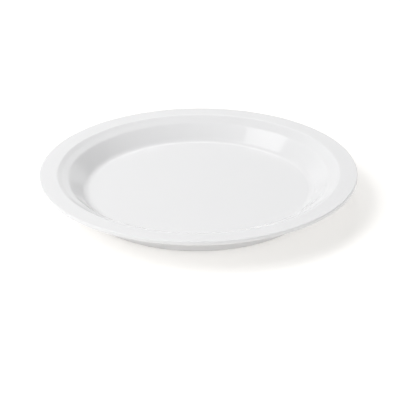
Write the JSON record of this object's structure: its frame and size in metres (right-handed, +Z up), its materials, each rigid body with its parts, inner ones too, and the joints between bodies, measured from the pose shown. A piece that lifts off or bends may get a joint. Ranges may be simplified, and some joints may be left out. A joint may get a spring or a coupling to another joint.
{
  "type": "plastic plate",
  "caption": "Round moulded plastic plate with a flat rim, a sloping shoulder, a shallow well and a foot ring, for serving food; copies nest in a stack.",
  "frame": {"origin": "centre of the foot ring's standing face, on the table", "axes": "+Z up along the plate's axis; +X and +Y are any two level directions, since the plate is turned round Z"},
  "size_m": [0.23, 0.23, 0.023],
  "materials": {
    "white_plastic": "glossy moulded"
  },
  "bodies": {
    "root": {"plate": "white_plastic"}
  },
  "joints": []
}
